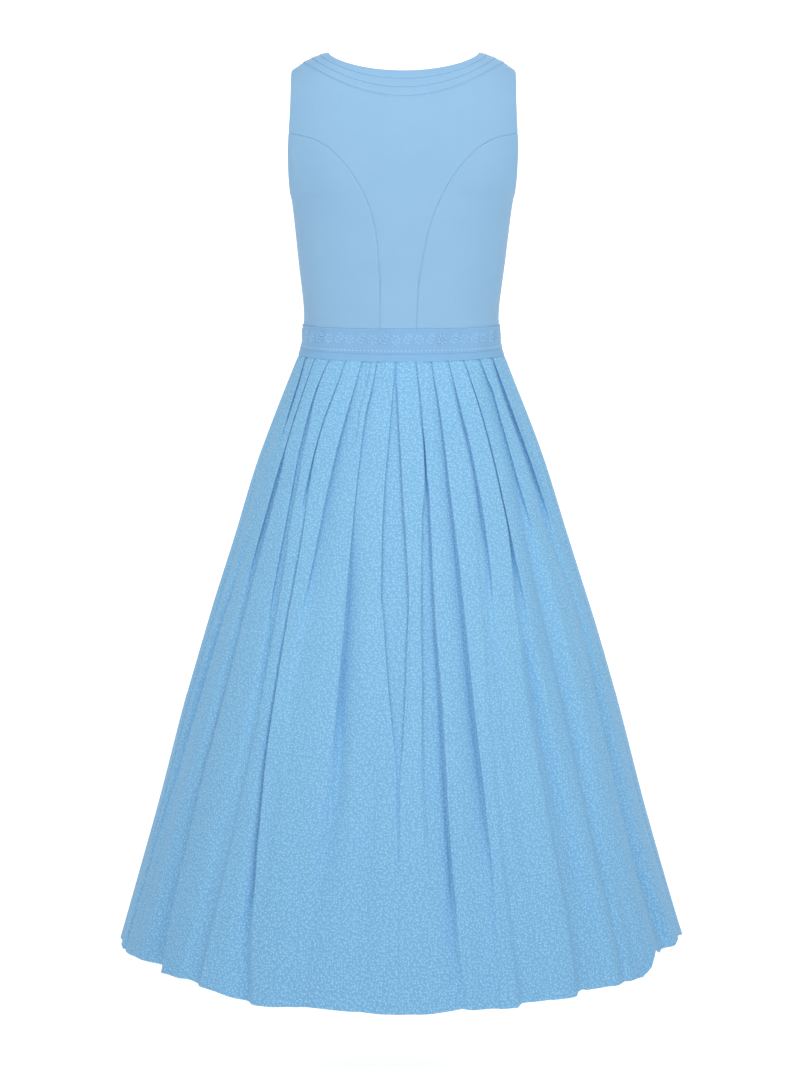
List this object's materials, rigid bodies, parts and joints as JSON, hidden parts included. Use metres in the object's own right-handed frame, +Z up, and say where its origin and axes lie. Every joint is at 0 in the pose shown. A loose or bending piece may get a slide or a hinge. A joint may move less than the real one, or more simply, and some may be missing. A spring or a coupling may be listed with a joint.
{
  "type": "dirndl",
  "caption": "Sleeveless long dirndl dress with a panelled bodice, tucked round neckline, ribboned waistband and a pleated skirt, in its worn hollow form.",
  "frame": {"origin": "mid-way between the tops of the two shoulders where the neckline meets them, where the wearer's shoulders hold the dress up", "axes": "+Z up the wearer's back, +Y the way the wearer faces, +X to the wearer's right"},
  "size_m": [0.7337, 0.5809, 1.1443],
  "materials": {
    "bodice_cloth": "matt plain weave, pale blue",
    "band_cloth": "matt plain weave, light blue",
    "ribbon": "woven ribbon, tone on tone, low sheen",
    "skirt_cloth": "matt cotton with small pale leaf print"
  },
  "bodies": {
    "root": {"bodice_back_centre": "bodice_cloth", "bodice_back_side_right": "bodice_cloth", "bodice_back_side_left": "bodice_cloth", "bodice_front_centre_right": "bodice_cloth", "bodice_front_centre_left": "bodice_cloth", "bodice_front_side_right": "bodice_cloth", "bodice_front_side_left": "bodice_cloth", "waistband": "band_cloth", "waist_ribbon": "ribbon", "skirt_back": "skirt_cloth", "skirt_front": "skirt_cloth"}
  },
  "joints": []
}
